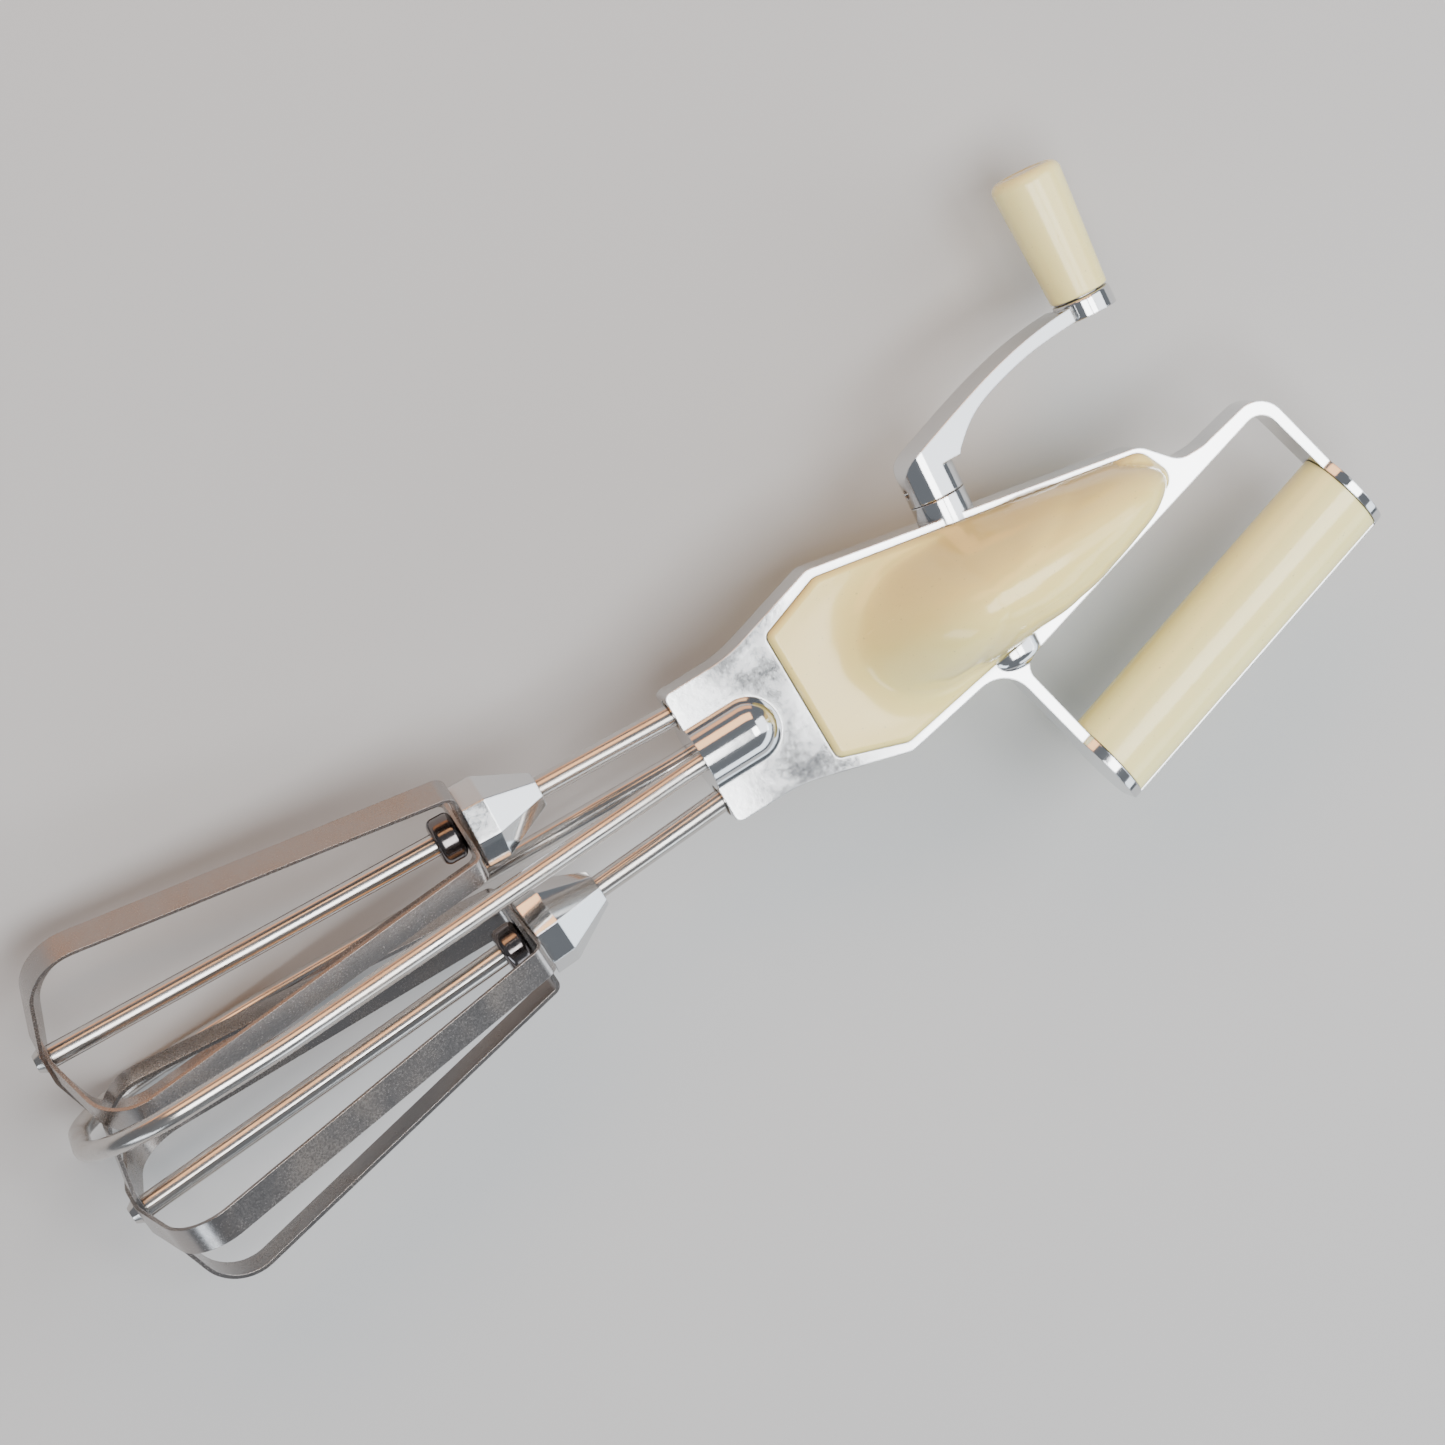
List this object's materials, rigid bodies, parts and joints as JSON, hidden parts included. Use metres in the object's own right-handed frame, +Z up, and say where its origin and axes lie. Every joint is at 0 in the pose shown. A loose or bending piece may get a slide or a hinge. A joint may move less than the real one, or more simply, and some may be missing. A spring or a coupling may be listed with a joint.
{
  "type": "egg beater",
  "caption": "Hand-cranked rotary egg beater with a chromed frame, cream gear covers, an oval side grip, a crank with a turning knob, and whisks inside a wire guard.",
  "frame": {"origin": "under the middle of the whole object's box, on the surface it lies on", "axes": "+X up the whisk spindles towards the handle, +Y towards the crank, +Z up out of the front cover"},
  "size_m": [0.2904, 0.1202, 0.063],
  "materials": {
    "chrome_casting": "mirror polished",
    "cream_plastic": "gloss",
    "blade_steel": "satin",
    "wire_steel": "polished",
    "pin_steel": "turned",
    "bush_brass": "turned",
    "gear_steel": "cut"
  },
  "bodies": {
    "body": {"frame": "chrome_casting", "front_cover": "cream_plastic", "rear_cover": "cream_plastic", "cover_screws": "pin_steel", "grip_front": "cream_plastic", "grip_rear": "cream_plastic", "grip_pins": "pin_steel", "axle_bush_near": "bush_brass", "axle_bush_far": "bush_brass", "neck_bush_left": "bush_brass", "neck_bush_right": "bush_brass", "thrust_washer_left": "pin_steel", "thrust_washer_right": "pin_steel", "guard_loop": "wire_steel"},
    "crank": {"crank_axle": "pin_steel", "drive_gear": "gear_steel", "gear_pin": "pin_steel", "axle_spacer_near": "pin_steel", "axle_spacer_far": "pin_steel", "crank_arm": "chrome_casting", "crank_pin": "pin_steel", "knob_washer": "pin_steel", "knob_pin": "pin_steel"},
    "knob": {"crank_knob": "cream_plastic", "knob_cap": "cream_plastic"},
    "whisk_left": {"spindle_left": "wire_steel", "pinion_left": "gear_steel", "whisk_hub_left": "chrome_casting", "whisk_collar_left": "pin_steel", "outer_loop_left": "blade_steel", "inner_loop_left": "blade_steel"},
    "whisk_right": {"spindle_right": "wire_steel", "pinion_right": "gear_steel", "whisk_hub_right": "chrome_casting", "whisk_collar_right": "pin_steel", "outer_loop_right": "blade_steel", "inner_loop_right": "blade_steel"}
  },
  "joints": [
    {"name": "crank_spin", "type": "hinge", "parent": "body", "child": "crank", "pos_m": [0.06699, -0.00723, 0.0315], "axis": [0.0819, 0.9966, 0], "continuous": true},
    {"name": "knob_spin", "type": "hinge", "parent": "crank", "child": "knob", "pos_m": [0.11339, -0.01104, 0.0216], "axis": [0.0819, 0.9966, 0], "continuous": true},
    {"name": "whisk_left_spin", "type": "hinge", "parent": "body", "child": "whisk_left", "pos_m": [-0.00011, 0.00469, 0.0315], "axis": [0.9985, -0.0549, 0], "continuous": true},
    {"name": "whisk_right_spin", "type": "hinge", "parent": "body", "child": "whisk_right", "pos_m": [-0.00011, -0.01531, 0.0315], "axis": [0.9985, 0.0549, 0], "continuous": true}
  ],
  "couplings": [
    {"joint": "whisk_left_spin", "follows": "crank_spin", "ratio": -5},
    {"joint": "whisk_right_spin", "follows": "crank_spin", "ratio": 5}
  ]
}
